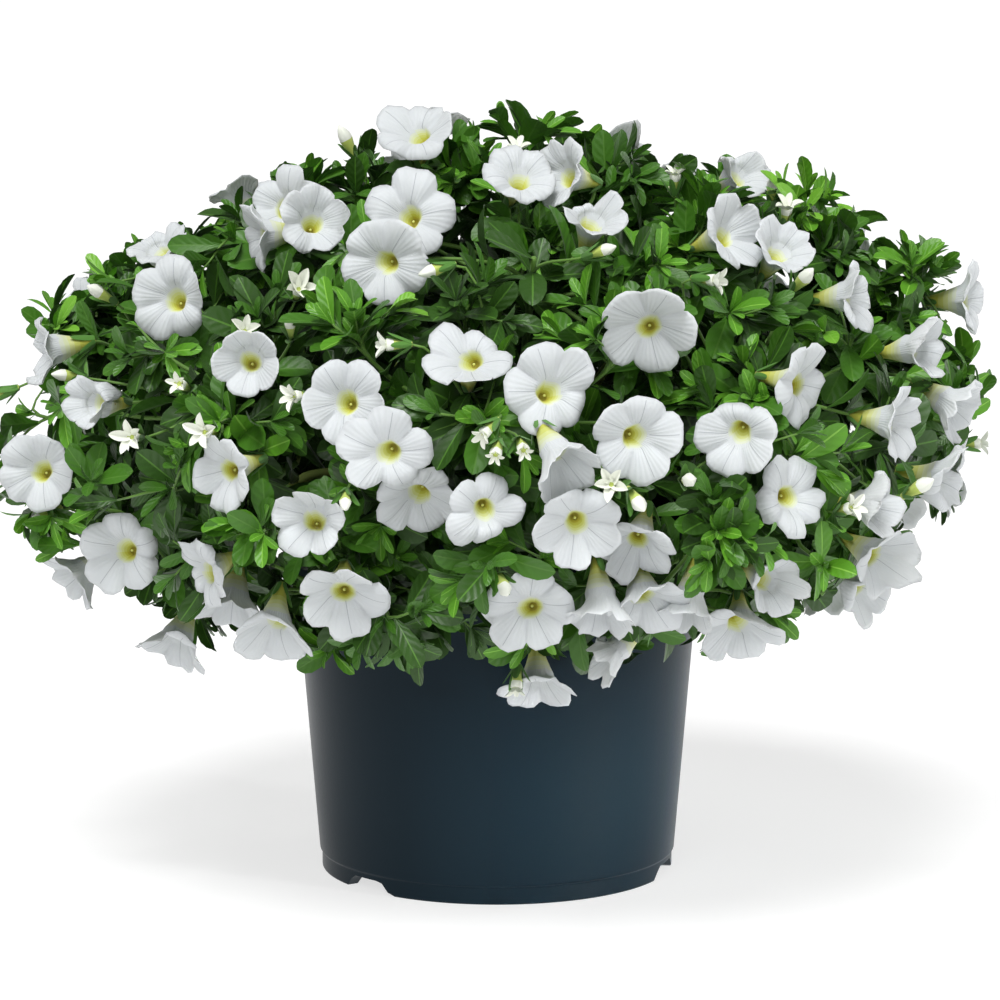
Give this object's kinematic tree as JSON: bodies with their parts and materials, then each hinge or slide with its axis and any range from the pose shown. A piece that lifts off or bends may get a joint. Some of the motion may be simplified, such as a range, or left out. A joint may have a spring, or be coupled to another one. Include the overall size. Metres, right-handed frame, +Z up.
{
  "type": "potted trailing petunia",
  "caption": "Mounded trailing petunia in full white bloom, spilling over the rim of a round tapered nursery pot that stands on its own notched foot ring.",
  "frame": {"origin": "on the ground under the middle of the pot and of the plant's outline", "axes": "+Z up, out of the pot's mouth; -Y is the front that the picture shows, +X its right"},
  "size_m": [0.3963, 0.3923, 0.313],
  "materials": {
    "pot_plastic": "satin slate blue-grey injection-moulded plastic",
    "potting_mix": "dark crumbly peat-like mix",
    "green_stem": "soft green, finely hairy stems",
    "foliage": "small matt green leaves and white funnel-shaped blooms"
  },
  "bodies": {
    "root": {"pot": "pot_plastic", "potting_mix": "potting_mix", "stem": "green_stem", "bough_top": "green_stem", "bough_upper_1": "green_stem", "bough_upper_2": "green_stem", "bough_upper_3": "green_stem", "bough_upper_4": "green_stem", "bough_upper_5": "green_stem", "bough_middle_1": "green_stem", "bough_middle_2": "green_stem", "bough_middle_3": "green_stem", "bough_middle_4": "green_stem", "bough_middle_5": "green_stem", "bough_middle_6": "green_stem", "bough_middle_7": "green_stem", "bough_middle_8": "green_stem", "bough_skirt_1": "green_stem", "bough_skirt_2": "green_stem", "bough_skirt_3": "green_stem", "bough_skirt_4": "green_stem", "bough_skirt_5": "green_stem", "bough_skirt_6": "green_stem", "bough_skirt_7": "green_stem", "bough_skirt_8": "green_stem", "mass_top": "foliage", "mass_upper_1": "foliage", "mass_upper_2": "foliage", "mass_upper_3": "foliage", "mass_upper_4": "foliage", "mass_upper_5": "foliage", "mass_middle_1": "foliage", "mass_middle_2": "foliage", "mass_middle_3": "foliage", "mass_middle_4": "foliage", "mass_middle_5": "foliage", "mass_middle_6": "foliage", "mass_middle_7": "foliage", "mass_middle_8": "foliage", "mass_skirt_1": "foliage", "mass_skirt_2": "foliage", "mass_skirt_3": "foliage", "mass_skirt_4": "foliage", "mass_skirt_5": "foliage", "mass_skirt_6": "foliage", "mass_skirt_7": "foliage", "mass_skirt_8": "foliage"}
  },
  "joints": []
}
